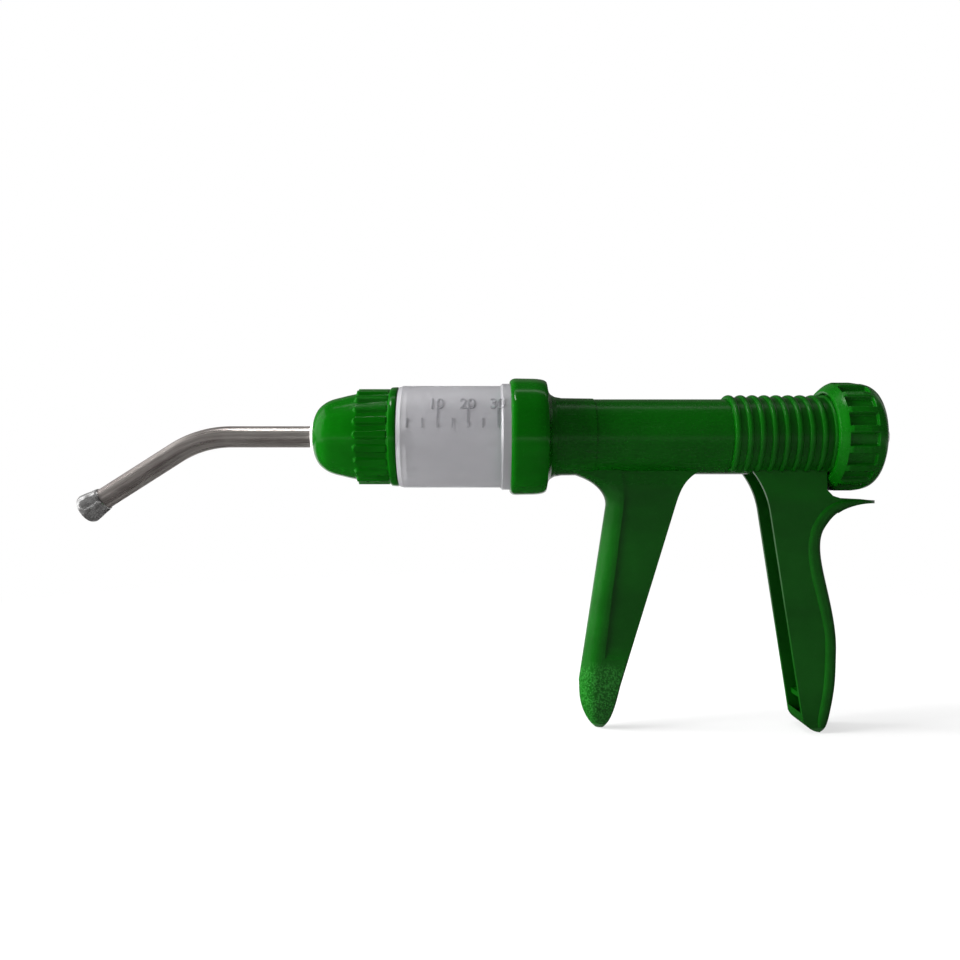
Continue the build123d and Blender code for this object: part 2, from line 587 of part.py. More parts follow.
with BuildPart() as knob_ring:
    ring(knob_ring_x - 0.5, knob_ring_x + 0.5, hub_r - 0.75, hub_r + 0.7)
    with Locations((knob_ring_x, 0, hub_r)):
        Box(4, 8, 6, mode=Mode.SUBTRACT)
save(knob_ring.part, "knob_ring")

# ================================ hose spigot ================================================
spigot_r = 4.0
spigot_rear_x = spigot_front_x + 9.6
with BuildPart() as hose_spigot:
    ring(spigot_front_x, spigot_front_x + 1.6, 2.0, 6.2)
    turn((spigot_front_x + 1.6, 2.0), (spigot_front_x + 1.6, spigot_r), (spigot_rear_x - 0.8, spigot_r),
         (spigot_rear_x, spigot_r - 0.8), (spigot_rear_x, 2.0))
    ring(spigot_front_x - 4.0, spigot_front_x, 2.0, rod_bore_r)
save(hose_spigot.part, "hose_spigot")
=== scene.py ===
"""Pistol-grip dosing gun: the looks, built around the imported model.

The gun's axis is X with the nozzle towards -X, the handles hang down -Z, and the near side, with
the scale, faces -Y.  Surfaces are worked out in millimetres, and MM turns them into metres.
"""

import json
import math

import bmesh
import bpy
import numpy as np
from mathutils import Matrix, Vector


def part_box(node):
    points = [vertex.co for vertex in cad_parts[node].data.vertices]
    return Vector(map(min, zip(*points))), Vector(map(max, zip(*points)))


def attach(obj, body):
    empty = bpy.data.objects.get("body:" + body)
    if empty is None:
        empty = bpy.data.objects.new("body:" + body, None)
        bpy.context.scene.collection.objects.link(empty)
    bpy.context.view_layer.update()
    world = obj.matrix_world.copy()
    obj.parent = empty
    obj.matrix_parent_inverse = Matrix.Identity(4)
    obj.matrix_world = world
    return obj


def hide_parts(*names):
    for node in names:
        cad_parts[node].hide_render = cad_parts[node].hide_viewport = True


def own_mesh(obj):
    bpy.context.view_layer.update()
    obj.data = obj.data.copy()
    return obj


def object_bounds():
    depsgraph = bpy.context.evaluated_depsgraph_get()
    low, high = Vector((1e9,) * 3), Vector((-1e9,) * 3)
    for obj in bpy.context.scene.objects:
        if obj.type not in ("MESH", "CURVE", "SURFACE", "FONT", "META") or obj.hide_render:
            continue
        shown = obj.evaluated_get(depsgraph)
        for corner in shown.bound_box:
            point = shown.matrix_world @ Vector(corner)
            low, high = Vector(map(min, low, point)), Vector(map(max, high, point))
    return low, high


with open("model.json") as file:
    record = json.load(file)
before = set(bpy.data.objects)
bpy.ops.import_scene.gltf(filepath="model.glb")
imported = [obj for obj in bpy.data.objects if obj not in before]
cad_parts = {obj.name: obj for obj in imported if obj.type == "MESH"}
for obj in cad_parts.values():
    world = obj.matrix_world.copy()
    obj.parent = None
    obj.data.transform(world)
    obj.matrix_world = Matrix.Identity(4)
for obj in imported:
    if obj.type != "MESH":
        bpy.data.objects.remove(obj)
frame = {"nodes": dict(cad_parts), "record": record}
NODES = frame["nodes"]
CAD_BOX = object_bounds()
MM = 0.001
RIGHT_ANGLE = math.radians(90)

# ---- camera -----------------------------------------------------------------------------------
LENS = 31.5
CAMERA_X, CAMERA_Y, CAMERA_Z = -59.5, -312, -16

eye = bpy.data.cameras.new("camera")
eye.lens = LENS
eye.clip_start = 10 * MM
camera = bpy.data.objects.new("camera", eye)
camera.location = (CAMERA_X * MM, CAMERA_Y * MM, CAMERA_Z * MM)
camera.rotation_euler = (RIGHT_ANGLE, 0, 0)
bpy.context.collection.objects.link(camera)
bpy.context.scene.camera = camera


# ---- shader maths -----------------------------------------------------------------------------
class Wire:
    """One shader value; arithmetic on it adds Math nodes to its tree."""

    def __init__(self, owner, socket):
        self.owner, self.socket = owner, socket

    def math(self, operation, other, clamp=False):
        return self.owner.node("ShaderNodeMath", dict(operation=operation, use_clamp=clamp),
                               {0: self, 1: other})

    def __add__(self, other): return self.math("ADD", other)
    def __mul__(self, other): return self.math("MULTIPLY", other)
    def __sub__(self, other): return self.math("SUBTRACT", other)
    def __radd__(self, other): return self + other
    def __rmul__(self, other): return self * other
    def __rsub__(self, other): return self * -1.0 + other


class Nodes:
    """The node tree of a finish or of the surroundings."""

    def __init__(self, tree):
        self.tree = tree

    def node(self, kind, settings, values, output=0):
        """Add any node: its settings first, then the values or wires of its inputs."""
        made = self.tree.nodes.new(kind)
        for key, value in settings.items():
            setattr(made, key, value)
        for key, value in values.items():
            if isinstance(value, Wire):
                self.tree.links.new(value.socket, made.inputs[key])
            else:
                made.inputs[key].default_value = value
        return Wire(self, made.outputs[output])

    def show(self, shader, ending):
        """Lead a shader into the tree's last node."""
        self.tree.links.new(shader.socket, self.tree.nodes[ending].inputs[0])


class Finish(Nodes):
    """A procedural material on Object coordinates, its constants on the shader's own sockets."""

    def __init__(self, name, **constants):
        self.material = bpy.data.materials.new(name)
        self.material.use_nodes = True
        super().__init__(self.material.node_tree)
        self.shader = self.tree.nodes["Principled BSDF"]
        for socket, value in constants.items():
            self.shader.inputs[socket.replace("_", " ")].default_value = value
        self.place = self.node("ShaderNodeTexCoord", {}, {}, "Object")

    def noise(self, scale, detail=2.0, stretch=(1, 1, 1), rough=0.5):
        """Noise from 0 to 1, `scale` cells to the metre; a stretch below 1 draws it out."""
        place = self.place
        if stretch != (1, 1, 1):
            place = self.node("ShaderNodeVectorMath", dict(operation="MULTIPLY"),
                              {0: place, 1: stretch})
        return self.node("ShaderNodeTexNoise", {}, {"Vector": place, "Scale": scale,
                                                    "Detail": detail, "Roughness": rough})

    def ease(self, value, low, high, start=0.0, end=1.0):
        """Carry value's range low..high smoothly to start..end."""
        return self.node("ShaderNodeMapRange", dict(interpolation_type="SMOOTHSTEP"),
                         {0: value, 1: low, 2: high, 3: start, 4: end})

    def mix(self, factor, first, second):
        """Blend two colours."""
        both = {0: factor}
        for slot, colour in ((6, first), (7, second)):
            both[slot] = colour if isinstance(colour, Wire) else (*colour, 1)
        return self.node("ShaderNodeMix", dict(data_type="RGBA"), both, 2)

    def bump(self, height, depth, under=None):
        """Relief of `depth` metres where height goes from 0 to 1, over another relief if given."""
        values = {"Height": height, "Distance": depth, "Strength": 1.0}
        if under:
            values["Normal"] = under
        return self.node("ShaderNodeBump", {}, values)

    def length(self, vector):
        """Length of a vector."""
        return self.node("ShaderNodeVectorMath", dict(operation="LENGTH"), {0: vector}, 1)

    def set(self, **wires):
        """Lead values into the shader's sockets, and give the finished material."""
        for socket, wire in wires.items():
            self.tree.links.new(wire.socket, self.shader.inputs[socket.replace("_", " ")])
        return self.material


# ---- finishes ---------------------------------------------------------------------------------
LEAF = (0.0008, 0.046, 0.0008)
DEEP_LEAF = (0.0004, 0.033, 0.0004)
STIPPLE_AND_SHEEN_LEAF = (0.014, 0.130, 0.014)
FLECK = (0.04, 0.24, 0.04)
GRIP_FADE, STIPPLE_FADE, STIPPLE_STRAY = 3, 4, 6
MILK_LOW, MILK_HIGH, MARK_PAINTED_SHADE = (0.44, 0.435, 0.455), (0.50, 0.495, 0.515), (0.26, 0.26, 0.28)
MARK_ROOT, MARK_CREST, MARK_FADE = 18.89, 19.15, 0.05


def green_moulding(name, rough, painted_light=1.0, grip_top=None, stipple_top=None):
    """Moulded green: slow drifts of shade, faint flow lines, orange peel and fine scuffs;
    painted_light scales the greens up, a painted lightening for parts that catch more light.  Below
    grip_top it is dulled by fine grain, and below stipple_top by a coarse stipple whose pale dots
    are partly the grip's texture and partly a painted sheen of the proud, curved tip."""
    f = Finish(name, Specular_IOR_Level=0.22, IOR=1.49)
    height = f.node("ShaderNodeSeparateXYZ", {}, {0: f.place}, "Z")
    drift = f.noise(38, detail=3)
    flow = f.noise(160, stretch=(0.22, 1, 1))
    shade = f.ease(drift * 0.7 + flow * 0.3, 0.32, 0.68)
    # painted light: a painted_light above 1 lightens the whole green, standing in for light on
    # brighter-lit parts
    body = f.mix(shade, tuple(c * painted_light for c in DEEP_LEAF), tuple(c * painted_light for c in LEAF))
    fleck = f.ease(f.noise(2600, detail=1), 0.64, 0.80)
    colour = f.mix(fleck * 0.12, body, FLECK)
    peel = f.noise(900)
    scuff = f.ease(f.noise(700, detail=4, stretch=(0.25, 1, 1)), 0.58, 0.72)
    roughness = rough + peel * 0.08 + scuff * 0.10
    normal = f.bump(peel, 0.010 * MM)
    if grip_top is not None:
        grain = f.noise(4200, detail=1)
        gripped = f.ease(height, (grip_top - GRIP_FADE) * MM, grip_top * MM, 1.0, 0.0)
        roughness = roughness + gripped * 0.14
        normal = f.bump(grain * gripped, 0.030 * MM, normal)
    if stipple_top is not None:
        stray = (f.noise(90, detail=3) - 0.5) * (STIPPLE_STRAY * MM)
        tip = f.ease(height + stray, (stipple_top - STIPPLE_FADE) * MM, stipple_top * MM, 1.0, 0.0)
        dots = f.ease(f.noise(1700, detail=3), 0.42, 0.62)
        # pale stipple dots: partly the grip's texture, partly a painted sheen of the proud, curved
        # tip
        colour = f.mix(tip * dots * 0.55, colour, STIPPLE_AND_SHEEN_LEAF)
        roughness = roughness + tip * 0.10
        normal = f.bump(dots * tip, 0.035 * MM, normal)
    return f.set(Base_Color=colour, Roughness=roughness, Normal=normal)


def plain(name, colour, rough, metallic=0.0):
    """A working finish for hidden pieces: a colour that drifts a little, with a fine grain."""
    f = Finish(name, Metallic=metallic)
    low, high = tuple(c * 0.88 for c in colour), tuple(c * 1.12 for c in colour)
    return f.set(Base_Color=f.mix(f.ease(f.noise(300, detail=3), 0.3, 0.7), low, high),
                 Roughness=rough + f.noise(1200) * 0.12,
                 Normal=f.bump(f.noise(3600, detail=1), 0.004 * MM))


def frosted(name):
    """Frosted clear wall: an even milky grey that lets shapes behind it through softly, with the
    scale's marks, which stand up from the wall, painted a little darker as painted shade for the
    edges of the clear relief."""
    f = Finish(name, Transmission_Weight=0.72, IOR=1.33, Specular_IOR_Level=0.5)
    haze = f.noise(45, detail=3, stretch=(0.5, 1, 1))
    radius = f.length(f.node("ShaderNodeVectorMath", dict(operation="MULTIPLY"),
                             {0: f.place, 1: (0, 1, 1)}))
    above = f.ease(radius, (MARK_ROOT - MARK_FADE) * MM, (MARK_ROOT + MARK_FADE) * MM)
    below = f.ease(radius, (MARK_CREST - MARK_FADE) * MM, (MARK_CREST + MARK_FADE) * MM, 1.0, 0.0)
    wall = f.mix(f.ease(haze, 0.3, 0.7), MILK_LOW, MILK_HIGH)
    # painted shade: the scale's marks and figures are painted darker grey, standing in for the
    # shading at the edges of the clear relief
    return f.set(Base_Color=f.mix(above * below * 0.8, wall, MARK_PAINTED_SHADE),
                 Roughness=0.30 + f.noise(260) * 0.10,
                 Normal=f.bump(f.noise(3000, detail=1), 0.004 * MM,
                               f.bump(f.noise(140), 0.02 * MM)))


def drawn_steel(name, dark, pale, rough, streak=0.025, along=True, metallic=1.0):
    """Polished stainless with drawing lines along the piece: streaks of shade and roughness that
    follow the piece's own "lay", its length and the circle round it, or the gun's axis."""
    f = Finish(name, Metallic=metallic)
    if along:
        f.place = f.node("ShaderNodeAttribute", dict(attribute_name="lay"), {}, "Vector")
    line = f.noise(1150, detail=3, stretch=(streak, 1, 1), rough=0.6)
    broad = f.noise(330, stretch=(streak * 1.6, 1, 1))
    cloud = f.noise(85, detail=3)
    shade = f.ease(line * 0.45 + broad * 0.35 + cloud * 0.20, 0.36, 0.62)
    return f.set(Base_Color=f.mix(shade, dark, pale), Roughness=rough + line * 0.14,
                 Normal=f.bump(line, 0.0015 * MM, f.bump(broad, 0.004 * MM)))


finishes = {
    "front": green_moulding("green_front_body", 0.22, grip_top=-17, stipple_top=-82),
    "rear": green_moulding("green_rear_body", 0.26, grip_top=-22),
    # the knob and the cap, which the barrel nut also wears, are lighter copies of the same green:
    # painted light for their brighter-lit faces
    "knob": green_moulding("green_knob", 0.22, painted_light=1.15),
    "cap": green_moulding("green_cap", 0.12, painted_light=1.25),
    "barrel": frosted("frosted_barrel"),
    "figures": frosted("frosted_figures"),
    "steel": drawn_steel("drawn_steel", (0.24, 0.21, 0.20), (0.50, 0.465, 0.44), 0.22,
                         metallic=0.85),
    "tip": drawn_steel("polished_tip", (0.26, 0.255, 0.25), (0.88, 0.88, 0.88), 0.12, streak=0.3,
                       metallic=0.92),
    "rod": drawn_steel("rod_steel", (0.45, 0.43, 0.42), (0.62, 0.60, 0.59), 0.2, along=False),
    "spring": plain("spring_wire", (0.42, 0.42, 0.42), 0.28, 1.0),
    "rubber": plain("seal_rubber", (0.02, 0.02, 0.022), 0.5),
    "nylon": plain("white_nylon", (0.75, 0.75, 0.72), 0.35),
    "piston": plain("piston_green", (0.03, 0.42, 0.22), 0.35),
}
WORN = {
    "front": ["front_body"],
    "rear": ["rear_body"],
    "barrel": ["barrel"],
    "piston": ["piston_body"],
    "rod": ["nozzle_ferrule", "piston_rod", "hose_spigot"],
    "spring": ["outlet_spring", "inlet_spring", "return_spring", "rod_clip", "knob_ring",
               "spring_washer_front", "spring_washer_rear"],
    "rubber": ["barrel_gasket", "nose_gasket", "nozzle_o_ring", "rest_bumper", "piston_ring_front",
               "piston_ring_rear", "outlet_valve", "inlet_valve"],
}
worn_by = {node: finish for finish, nodes in WORN.items() for node in nodes}
for node, thing in NODES.items():
    thing.data.materials.clear()
    thing.data.materials.append(finishes[worn_by.get(node, "nylon")])


# ---- surfaces ---------------------------------------------------------------------------------
def smooth_through(points, count):
    """Cubic Hermite curve through the points, its slopes the mean of the neighbouring chords."""
    points = np.asarray(points, float)
    chord = np.r_[0, np.cumsum(np.linalg.norm(np.diff(points, axis=0), axis=1))]
    slope = np.gradient(points, chord, axis=0)
    at = np.linspace(0, chord[-1], count)
    k = np.clip(np.searchsorted(chord, at, side="right") - 1, 0, len(points) - 2)
    span = (chord[k + 1] - chord[k])[:, None]
    t = (at - chord[k])[:, None] / span
    return ((2 * t**3 - 3 * t**2 + 1) * points[k] + (t**3 - 2 * t**2 + t) * span * slope[k]
            + (3 * t**2 - 2 * t**3) * points[k + 1] + (t**3 - t**2) * span * slope[k + 1])


def rounded(corners, radii, count):
    """Closed outline of corners, each cut off a radius along its sides and turned by a parabola."""
    corners, radii = np.asarray(corners, float), np.asarray(radii, float)[:, None]
    before, after = np.roll(corners, 1, 0) - corners, np.roll(corners, -1, 0) - corners
    start, end = [side / leg * np.minimum(radii, 0.45 * leg) for side, leg in
                  ((side, np.linalg.norm(side, axis=1, keepdims=True)) for side in (before, after))]
    t = np.linspace(0, 1, count)[None, :, None]
    arc = (1 - t) ** 2 * start[:, None] + t ** 2 * end[:, None]
    return (corners[:, None] + arc).reshape(-1, 2)


def skin(name, points, closed_rows=True):
    """Mesh of a grid of points in millimetres, rows by columns, that closes round its columns.  Its
    rows close round too, or else its first and last row each close in one point.  Its faces are
    turned outward by the sign of its volume."""
    rows, columns = points.shape[:2]
    i, j = np.meshgrid(np.arange(rows if closed_rows else rows - 1), np.arange(columns),
                       indexing="ij")
    down, right = (i + 1) % rows, (j + 1) % columns
    quads = np.stack([i * columns + j, down * columns + j, down * columns + right,
                      i * columns + right], -1).reshape(-1, 4)
    flat = points.reshape(-1, 3) * MM
    a, b, c, d = (flat[quads[:, k]] for k in range(4))
    if np.einsum("ij,ij->i", a, np.cross(b, c) + np.cross(c, d)).sum() < 0:
        quads = quads[:, ::-1]
    mesh = bpy.data.meshes.new(name)
    mesh.from_pydata(flat, [], quads)
    if not closed_rows:
        shell = bmesh.new()
        shell.from_mesh(mesh)
        verts = list(shell.verts)
        for ring, spots in ((verts[:columns], flat[:columns]), (verts[-columns:], flat[-columns:])):
            bmesh.ops.pointmerge(shell, verts=ring, merge_co=Vector(spots.mean(0)))
        shell.to_mesh(mesh)
        shell.free()
    mesh.shade_smooth()
    made = bpy.data.objects.new(name, mesh)
    bpy.context.collection.objects.link(made)
    return made


def turned(name, outline, columns, lift=None):
    """Outline of (x, radius) carried round the gun's axis; `lift` gives the radius added at each
    x and angle.  The angle starts on the near side and rises over the top."""
    angle = np.linspace(0, 2 * np.pi, columns, endpoint=False)
    x = np.repeat(outline[:, :1], columns, 1)
    r = np.repeat(outline[:, 1:], columns, 1)
    if lift is not None:
        r = r + lift(x, r, angle[None, :])
    return skin(name, np.stack([x, -r * np.cos(angle), r * np.sin(angle)], -1))


def soft_step(value):
    """Rise from 0 to 1 as 3 v^2 - 2 v^3, level outside that range."""
    value = np.clip(value, 0, 1)
    return value * value * (3 - 2 * value)


def wear(piece, body, finish):
    """The piece rides a body and wears a finish."""
    piece.data.materials.append(finishes[finish])
    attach(piece, body)


def stand_in(piece, node, body, finish):
    """The piece stands for a CAD node."""
    wear(piece, body, finish)
    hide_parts(node)


def ends(node):
    """First and last x of a CAD node, in millimetres."""
    low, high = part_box(node)
    return low.x / MM, high.x / MM


# ---- nose cap: a dome that runs into a cone, round-ended flutes, and a plain rim ----------------
cap_front, cap_rear = ends("nose_cap")
gasket_front = ends("nose_gasket")[0]
socket_front = ends("nozzle_socket")[0]
RIM_LONG, RIM_R = 3.0, 18.38
NECK_BORE, VALVE_BORE, SOCKET_BORE = 14.05, 9.0, 5.3
FLUTES, FLUTE_LONG, FLUTE_WIDE, FLUTE_CREST, FLUTE_SIDE = 21, 12.0, 2.7, 17.65, 0.55
ROOT_FRONT_R, ROOT_REAR_R, ROOT_MEAN_R, WALL_R = 16.13, 16.85, 17.2, 13.5
flute_rear = cap_rear - RIM_LONG
flute_front = flute_rear - FLUTE_LONG
dome = smooth_through([(cap_front, 6.2), (cap_front + 0.7, 8.4), (cap_front + 2.0, 10.6),
                       (cap_front + 4.4, 12.6), (cap_front + 11.3, 14.9),
                       (flute_front + 0.5, 16.1)], 60)
fluted = np.stack([np.linspace(dome[-1, 0] + 0.15, flute_rear - 0.65, 60),
                   np.linspace(ROOT_FRONT_R, ROOT_REAR_R, 60)], -1)
skirt = np.array([(flute_rear - 0.5, ROOT_REAR_R), (flute_rear - 0.1, ROOT_REAR_R + 0.25),
                  (flute_rear + 0.05, RIM_R - 0.58), (flute_rear + 0.4, RIM_R - 0.18),
                  (flute_rear + 0.9, RIM_R - 0.08), (cap_rear - 0.6, RIM_R),
                  (cap_rear - 0.2, RIM_R - 0.13), (cap_rear, RIM_R - 0.48), (cap_rear, NECK_BORE),
                  (gasket_front, NECK_BORE), (gasket_front, VALVE_BORE),
                  (socket_front, VALVE_BORE), (socket_front, SOCKET_BORE),
                  (cap_front, SOCKET_BORE)])


def flutes(x, r, angle):
    """Radius added for ridges with half-round front ends: a soft step, FLUTE_SIDE wide, of the
    distance from the ridge's middle line lifts the wall to FLUTE_CREST."""
    pitch = 2 * np.pi / FLUTES
    across = (np.mod(angle + pitch / 2, pitch) - pitch / 2) * ROOT_MEAN_R
    before = np.minimum(x - flute_front - 1.2, 0)
    ridge = soft_step((FLUTE_WIDE / 2 - np.hypot(before, across)) / FLUTE_SIDE + 0.5)
    return np.where((x < flute_rear - 0.3) & (r > WALL_R), ridge * (FLUTE_CREST - r), 0)


nose = turned("nose_cap_fluted", np.concatenate([dome, fluted, skirt]), FLUTES * 20, flutes)
stand_in(nose, "nose_cap", "front", "cap")

# ---- barrel nut: a plain ring with soft edges and a lip in front ---------------------------------
nut_front, nut_rear = ends("barrel_nut")
NUT_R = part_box("barrel_nut")[1].z / MM
LIP_BORE, LIP_LONG, NUT_BORE = 19.7, 2.0, 20.25
lip_rear = nut_front + LIP_LONG
nut_line = rounded([(nut_front, LIP_BORE), (nut_front, NUT_R - 0.9), (nut_front + 1.3, NUT_R),
                    (nut_rear - 3.4, NUT_R - 0.15), (nut_rear - 0.9, NUT_R - 0.6),
                    (nut_rear, NUT_R - 1.2), (nut_rear, NUT_BORE), (lip_rear, NUT_BORE),
                    (lip_rear, LIP_BORE)], [0.1, 0.7, 1.2, 2.0, 0.9, 0.25, 0.1, 0.1, 0.1], 7)
nut = turned("barrel_nut_ring", nut_line, 180)
stand_in(nut, "barrel_nut", "front", "cap")

# ---- dose knob: conical front, grip ridges with soft edges, rounded rear -------------------------
knob_front, knob_rear = ends("dose_knob")
ring_x = sum(ends("knob_ring")) / 2
KNOB_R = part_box("dose_knob")[1].z / MM
RIDGES, RIDGE_WIDE, RIDGE_HIGH = 17, 2.8, 1.7
HUB_BORE, ROD_HOLE, WELL_R = KNOB_R - 3.94, 5.06, 12.0
WEB_LONG, RING_HALF, RING_DEEP = 3.0, 0.75, 0.94
groove_front, groove_rear = knob_front + 3.1, knob_rear - 4.7
web_front = knob_rear - 5.8
face = smooth_through([(knob_front, HUB_BORE + 0.9), (knob_front + 0.25, HUB_BORE + 1.45),
                       (knob_front + 0.8, HUB_BORE + 1.95), (knob_front + 2.9, KNOB_R - 0.4),
                       (knob_front + 3.8, KNOB_R - 0.02)], 26)
crown = np.stack([np.linspace(knob_front + 4.0, knob_rear - 7.4, 24), np.full(24, KNOB_R)], -1)
rim = smooth_through([(knob_rear - 7.2, KNOB_R), (knob_rear - 4.2, KNOB_R - 0.45),
                      (knob_rear - 1.4, KNOB_R - 1.4), (knob_rear - 0.3, KNOB_R - 2.4),
                      (knob_rear, KNOB_R - 3.4)], 44)
hollow = np.array([(knob_rear, WELL_R), (web_front + WEB_LONG, WELL_R),
                   (web_front + WEB_LONG, ROD_HOLE), (web_front, ROD_HOLE), (web_front, HUB_BORE),
                   (ring_x + RING_HALF, HUB_BORE), (ring_x + RING_HALF, HUB_BORE + RING_DEEP),
                   (ring_x - RING_HALF, HUB_BORE + RING_DEEP), (ring_x - RING_HALF, HUB_BORE),
                   (knob_front, HUB_BORE)])


def grip_grooves(x, r, angle):
    """Radius taken off between the ridges: soft steps away from each ridge and from each end of
    the grooves, times RIDGE_HIGH, never below a cylinder RIDGE_HIGH under the crown."""
    pitch = 2 * np.pi / RIDGES
    across = np.abs(np.mod(angle - np.pi / 2 + pitch / 2, pitch) - pitch / 2) * KNOB_R
    between = soft_step((across - RIDGE_WIDE / 2) / 0.6 + 0.4)
    within = (soft_step((x - groove_front) / 0.5 + 0.4)
              * soft_step((groove_rear + 0.4 - x) / 0.8 + 0.4))
    sunk = np.minimum(between * within * RIDGE_HIGH, np.maximum(r - KNOB_R + RIDGE_HIGH, 0))
    return np.where(r > KNOB_R - 2.6, -sunk, 0)


knob = turned("dose_knob_ridged", np.concatenate([face, crown, rim, hollow]), RIDGES * 24,
              grip_grooves)
stand_in(knob, "dose_knob", "knob", "knob")

# ---- nozzle: a tube that runs straight, bends down and runs straight again -----------------------
NOZZLE_R, NOZZLE_BORE, OUTLET_R = 3.95, 3.0, 2.0
TURN, TURN_R, TURN_X = math.radians(32.5), 38.0, -151.9
REACH, TIP_LONG, TIP_DEEP = 40.6, 9.0, 4.0
pipe_rear = ends("nozzle_tube")[1]
turn_from = pipe_rear - TURN_X
turn_to = turn_from + TURN * TURN_R
tip_at = turn_to + REACH
tip_rear = tip_at - TIP_LONG
pipe_long = tip_at - TIP_DEEP


def beside_nozzle(along, r, angle):
    """Points at a distance along the nozzle's centre line and at a radius and angle round it.  The
    line is straight to turn_from, an arc of TURN_R through TURN, and straight again."""
    t = np.clip((along - turn_from) / TURN_R, 0, TURN)
    ahead = np.minimum(along, turn_from)
    after = np.maximum(along - turn_to, 0)
    x = pipe_rear - ahead - TURN_R * np.sin(t) - after * np.cos(t)
    z = TURN_R * (np.cos(t) - 1) - after * np.sin(t)
    up = r * np.sin(angle)
    return np.stack(np.broadcast_arrays(x - up * np.sin(t), -r * np.cos(angle),
                                        z + up * np.cos(t)), -1)


def nozzle_piece(name, outline, columns):
    """Outline of (distance along, radius) carried round the nozzle's centre line; the attribute
    "lay" holds the distance along and the circle round it, in metres."""
    angle = np.linspace(0, 2 * np.pi, columns, endpoint=False)
    along, r = np.repeat(outline[:, :1], columns, 1), np.repeat(outline[:, 1:], columns, 1)
    made = skin(name, beside_nozzle(along, r, angle))
    lay = np.stack([along, r * np.cos(angle), r * np.sin(angle)], -1) * MM
    made.data.attributes.new("lay", "FLOAT_VECTOR", "POINT").data.foreach_set("vector", lay.ravel())
    return made


outer = np.stack([np.linspace(0.2, pipe_long - 0.05, 170), np.full(170, NOZZLE_R)], -1)
inner = np.stack([np.linspace(pipe_long, 0, 90), np.full(90, NOZZLE_BORE)], -1)
pipe = nozzle_piece("nozzle_pipe", np.concatenate([[(0, NOZZLE_R - 0.2)], outer, inner]), 64)
stand_in(pipe, "nozzle_tube", "nozzle", "steel")

bulge = smooth_through([(tip_rear, NOZZLE_R + 0.35), (tip_rear + 0.5, NOZZLE_R + 0.55),
                        (tip_at - 6.8, NOZZLE_R + 0.8), (tip_at - 3.6, NOZZLE_R + 1.38),
                        (tip_at - 1.9, NOZZLE_R + 1.48), (tip_at - 0.9, NOZZLE_R + 1.05),
                        (tip_at - 0.3, NOZZLE_R + 0.4), (tip_at, NOZZLE_R - 0.5)], 60)
mouth = np.array([(tip_at, OUTLET_R + 0.3), (tip_at - 0.3, OUTLET_R), (pipe_long, OUTLET_R),
                  (pipe_long, NOZZLE_R), (tip_rear, NOZZLE_R)])
tip = nozzle_piece("nozzle_bulb", np.concatenate([bulge, mouth]), 96)
stand_in(tip, "nozzle_tip", "nozzle", "tip")

# ---- ribs of the rear sleeve, drawn over the plain ones ------------------------------------------
SLEEVE_R, RIB_HALF, RIB_HIGH, RIB_ROOT = 14.6, 1.15, 0.85, 0.4
RIBS, RIB_FIRST, RIB_PITCH = 9, 1.2, 4.4
RIB_STOP, RIB_TAPER, RIB_THINNEST = math.radians(61), 1.6, 0.02
sleeve_front = ends("rear_body")[0]


def sleeve_rib(number):
    """Half-round ridge over the top of the sleeve: an ellipse flattened below, carried round the
    axis and drawn in to a round tip, RIB_TAPER long, at both ends."""
    round_rib = np.linspace(0, 2 * np.pi, 20, endpoint=False)[None, :]
    u = np.linspace(-1, 1, 150)[:, None]
    reach = RIGHT_ANGLE + RIB_STOP
    climb = RIGHT_ANGLE + u * reach
    left = reach * (1 - np.abs(u)) * SLEEVE_R
    size = np.sqrt(np.clip(1 - (1 - np.clip(left / RIB_TAPER, 0, 1)) ** 2, RIB_THINNEST ** 2, 1))
    x = sleeve_front + RIB_FIRST + RIB_PITCH * number + size * RIB_HALF * np.cos(round_rib)
    r = SLEEVE_R + size * np.maximum(RIB_HIGH * np.sin(round_rib), -RIB_ROOT)
    made = skin(f"sleeve_rib_{number + 1}",
                np.stack([x, -r * np.cos(climb), r * np.sin(climb)], -1), closed_rows=False)
    wear(made, "plunger", "rear")


for number in range(RIBS):
    sleeve_rib(number)

# ---- springs, coiled between the ends of their CAD nodes -----------------------------------------
TRAVEL = {joint["name"]: joint["range_m"][1] for joint in frame["record"]["behaviour"]["joints"]
          if "range_m" in joint}


def coil_spring(node, body, joint, wire_r, turns):
    """Helix about the gun's axis between the node's two ends, its wire a circle carried along the
    coil in the radial direction and across it, drawn to a point at each end."""
    low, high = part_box(node)
    length = (high.x - low.x) / MM
    coil_r = high.z / MM - wire_r
    u = np.linspace(0, 1, 26 * turns)
    turn = 2 * np.pi * turns * u[:, None]
    run = length - 2 * wire_r
    rise = run / (2 * np.pi * turns)
    slant = math.hypot(coil_r, rise)
    round_wire = np.linspace(0, 2 * np.pi, 12, endpoint=False)[None, :]
    thick = wire_r * np.where((u > 0) & (u < 1), 1, 0.02)[:, None]
    out, across = thick * np.cos(round_wire), thick * np.sin(round_wire)
    x = low.x / MM + wire_r + run * u[:, None] + across * coil_r / slant
    r = coil_r + out
    y = r * np.cos(turn) + across * rise / slant * np.sin(turn)
    z = r * np.sin(turn) - across * rise / slant * np.cos(turn)
    made = skin(node + "_coil", np.stack([x, y, z], -1), closed_rows=False)
    stand_in(made, node, body, "spring")
    1 - TRAVEL[joint] / (length * MM)
    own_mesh(made)


coil_spring("return_spring", "front", "squeeze", 0.8, 13)
coil_spring("outlet_spring", "front", "outlet_lift", 0.3, 5)
coil_spring("inlet_spring", "plunger", "inlet_lift", 0.22, 3)

# ---- figures of the scale, in relief on the barrel -----------------------------------------------
BARREL_R, STROKE, REST_X = 18.8, 32.0, -53.2
FIGURE_HIGH, FIGURE_NARROW, FIGURE_LOW_EDGE = 4.7, 0.86, math.radians(28.9)
FLARE_X, FLARE_RUN, FLARE_RISE = -52.1, 0.8, 0.8


